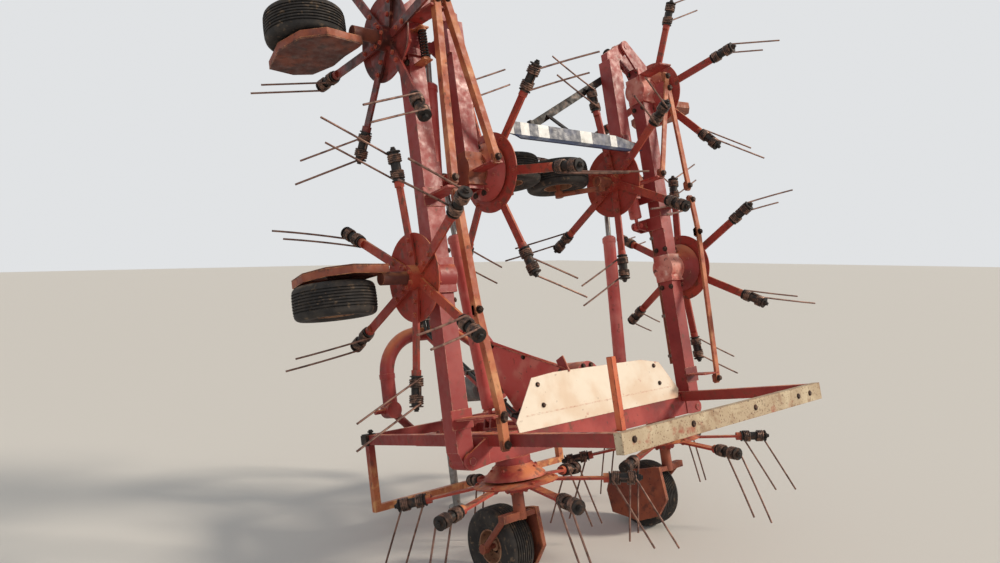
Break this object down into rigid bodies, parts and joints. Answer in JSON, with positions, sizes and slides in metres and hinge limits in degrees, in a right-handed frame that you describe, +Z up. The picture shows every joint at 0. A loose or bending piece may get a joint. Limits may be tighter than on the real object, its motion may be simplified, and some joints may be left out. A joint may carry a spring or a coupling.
{
  "type": "folded hay tedder",
  "caption": "Tractor-mounted rotary hay tedder parked with its wings folded up: tined rotors, coil springs, small wheels, guard frame and hitch arch.",
  "frame": {"origin": "on the floor under the middle of the bounding box", "axes": "+X to the machine's right as seen from behind, +Y towards the hitch arch (direction of travel), +Z up"},
  "size_m": [2.986, 2.3364, 3.3659],
  "materials": {
    "red_paint": "faded red",
    "bare_steel": "worn",
    "grey_plastic": "matt",
    "bleached_white": "chalky, pitted",
    "pale_cover": "bleached",
    "galvanised": "dull",
    "rotor_paint": "faded red",
    "tine_steel": "dark, rusted",
    "tyre": "dusty rubber",
    "rim": "dusty paint",
    "cylinder_paint": "faded red",
    "rod_chrome": "dulled"
  },
  "bodies": {
    "frame": {"main_beam": "red_paint", "centre_gearbox": "red_paint", "centre_rotor_boxes": "red_paint", "hitch_frame": "red_paint", "draw_bars": "red_paint", "hitch_struts": "red_paint", "input_shaft": "bare_steel", "input_guard": "grey_plastic", "guard_frame": "red_paint", "rear_bar": "bleached_white", "cover_plate": "pale_cover", "centre_legs": "red_paint"},
    "wing_left": {"left_beam": "red_paint", "left_rotor_boxes": "red_paint", "left_legs": "red_paint", "left_end_beam": "red_paint", "left_end_leg": "red_paint", "fold_barrel_left": "cylinder_paint", "fold_rod_left": "rod_chrome"},
    "wing_right": {"right_beam": "red_paint", "right_rotor_boxes": "red_paint", "right_legs": "red_paint", "right_end_beam": "red_paint", "right_end_leg": "red_paint", "fold_barrel_right": "cylinder_paint", "fold_rod_right": "rod_chrome"},
    "rotor_l1": {"rotor_l1": "rotor_paint", "tines_l1": "tine_steel"},
    "rotor_l2": {"rotor_l2": "rotor_paint", "tines_l2": "tine_steel"},
    "rotor_l3": {"rotor_l3": "rotor_paint", "tines_l3": "tine_steel"},
    "rotor_l4": {"rotor_l4": "rotor_paint", "tines_l4": "tine_steel"},
    "rotor_r1": {"rotor_r1": "rotor_paint", "tines_r1": "tine_steel"},
    "rotor_r2": {"rotor_r2": "rotor_paint", "tines_r2": "tine_steel"},
    "rotor_r3": {"rotor_r3": "rotor_paint", "tines_r3": "tine_steel"},
    "rotor_r4": {"rotor_r4": "rotor_paint", "tines_r4": "tine_steel"},
    "wheel_l1": {"tyre_l1": "tyre", "rim_l1": "rim"},
    "wheel_l2": {"tyre_l2": "tyre", "rim_l2": "rim"},
    "wheel_l3": {"tyre_l3": "tyre", "rim_l3": "rim"},
    "wheel_l4": {"tyre_l4": "tyre", "rim_l4": "rim"},
    "wheel_r1": {"tyre_r1": "tyre", "rim_r1": "rim"},
    "wheel_r4": {"tyre_r4": "tyre", "rim_r4": "rim"},
    "lift_barrel_left": {"lift_barrel_left": "cylinder_paint"},
    "lift_rod_left": {"lift_rod_left": "rod_chrome"},
    "lift_barrel_right": {"lift_barrel_right": "cylinder_paint"},
    "lift_rod_right": {"lift_rod_right": "rod_chrome"},
    "park_leg": {"park_leg": "galvanised"}
  },
  "joints": [
    {"name": "wing_left_fold", "type": "hinge", "parent": "frame", "child": "wing_left", "pos_m": [-0.842, -0.30435, 0.67823], "axis": [0, -0.9803, 0.1977], "range_deg": [0, 90]},
    {"name": "wing_right_fold", "type": "hinge", "parent": "frame", "child": "wing_right", "pos_m": [0.887, -0.30435, 0.67823], "axis": [0, 0.9803, -0.1977], "range_deg": [0, 90]},
    {"name": "rotor_l1_spin", "type": "hinge", "parent": "frame", "child": "rotor_l1", "pos_m": [-0.5525, -0.3342, 0.53021], "axis": [0, 0.1977, 0.9803], "continuous": true},
    {"name": "rotor_l2_spin", "type": "hinge", "parent": "wing_left", "child": "rotor_l2", "pos_m": [-0.993, -0.13427, 1.52176], "axis": [1, 0, 0], "continuous": true},
    {"name": "rotor_l3_spin", "type": "hinge", "parent": "wing_left", "child": "rotor_l3", "pos_m": [-0.993, 0.09304, 2.64907], "axis": [1, 0, 0], "continuous": true},
    {"name": "rotor_l4_spin", "type": "hinge", "parent": "wing_left", "child": "rotor_l4", "pos_m": [-0.453, -0.02971, 2.04032], "axis": [-1, 0, 0], "continuous": true},
    {"name": "rotor_r1_spin", "type": "hinge", "parent": "frame", "child": "rotor_r1", "pos_m": [0.5975, -0.3342, 0.53021], "axis": [0, 0.1977, 0.9803], "continuous": true},
    {"name": "rotor_r2_spin", "type": "hinge", "parent": "wing_right", "child": "rotor_r2", "pos_m": [1.038, -0.13427, 1.52176], "axis": [-1, 0, 0], "continuous": true},
    {"name": "rotor_r3_spin", "type": "hinge", "parent": "wing_right", "child": "rotor_r3", "pos_m": [1.038, 0.09304, 2.64907], "axis": [-1, 0, 0], "continuous": true},
    {"name": "rotor_r4_spin", "type": "hinge", "parent": "wing_right", "child": "rotor_r4", "pos_m": [0.498, -0.02971, 2.04032], "axis": [1, 0, 0], "continuous": true},
    {"name": "wheel_l1_roll", "type": "hinge", "parent": "frame", "child": "wheel_l1", "pos_m": [-0.5525, -0.2155, 0.188], "axis": [1, 0, 0], "continuous": true},
    {"name": "wheel_l2_roll", "type": "hinge", "parent": "wing_left", "child": "wheel_l2", "pos_m": [-1.305, 0.03266, 1.41873], "axis": [0, 0.1977, 0.9803], "continuous": true},
    {"name": "wheel_l3_roll", "type": "hinge", "parent": "wing_left", "child": "wheel_l3", "pos_m": [-1.305, 0.28685, 2.67936], "axis": [0, 0.1977, 0.9803], "continuous": true},
    {"name": "wheel_l4_roll", "type": "hinge", "parent": "wing_left", "child": "wheel_l4", "pos_m": [-0.173, 0.1641, 2.07061], "axis": [0, 0.1977, 0.9803], "continuous": true},
    {"name": "wheel_r1_roll", "type": "hinge", "parent": "frame", "child": "wheel_r1", "pos_m": [0.5975, -0.2155, 0.188], "axis": [1, 0, 0], "continuous": true},
    {"name": "wheel_r4_roll", "type": "hinge", "parent": "wing_right", "child": "wheel_r4", "pos_m": [0.218, 0.1641, 2.07061], "axis": [0, 0.1977, 0.9803], "continuous": true},
    {"name": "lift_barrel_left_swing", "type": "hinge", "parent": "frame", "child": "lift_barrel_left", "pos_m": [-0.4925, -0.07885, 0.78476], "axis": [0, -0.9803, 0.1977], "range_deg": [0, 81.98]},
    {"name": "lift_rod_left_slide", "type": "slide", "parent": "lift_barrel_left", "child": "lift_rod_left", "axis": [-0.0872, 0.1969, 0.9765], "range_m": [0, 0.4976]},
    {"name": "lift_barrel_right_swing", "type": "hinge", "parent": "frame", "child": "lift_barrel_right", "pos_m": [0.5375, -0.07885, 0.78476], "axis": [0, 0.9803, -0.1977], "range_deg": [0, 81.98]},
    {"name": "lift_rod_right_slide", "type": "slide", "parent": "lift_barrel_right", "child": "lift_rod_right", "axis": [0.0872, 0.1969, 0.9765], "range_m": [0, 0.4976]},
    {"name": "park_leg_slide", "type": "slide", "parent": "frame", "child": "park_leg", "axis": [0, 0.1977, 0.9803], "range_m": [0, 0.25]}
  ],
  "couplings": [
    {"joint": "rotor_l2_spin", "follows": "rotor_l1_spin", "ratio": -1},
    {"joint": "rotor_l3_spin", "follows": "rotor_l1_spin", "ratio": 1},
    {"joint": "rotor_l4_spin", "follows": "rotor_l1_spin", "ratio": -1},
    {"joint": "rotor_r1_spin", "follows": "rotor_l1_spin", "ratio": -1},
    {"joint": "rotor_r2_spin", "follows": "rotor_l1_spin", "ratio": 1},
    {"joint": "rotor_r3_spin", "follows": "rotor_l1_spin", "ratio": -1},
    {"joint": "rotor_r4_spin", "follows": "rotor_l1_spin", "ratio": 1},
    {"joint": "lift_barrel_left_swing", "follows": "wing_left_fold", "ratio": 0.90868},
    {"joint": "lift_rod_left_slide", "follows": "wing_left_fold", "m_per_rad": 0.31614},
    {"joint": "lift_barrel_right_swing", "follows": "wing_right_fold", "ratio": 0.90868},
    {"joint": "lift_rod_right_slide", "follows": "wing_right_fold", "m_per_rad": 0.31614}
  ]
}
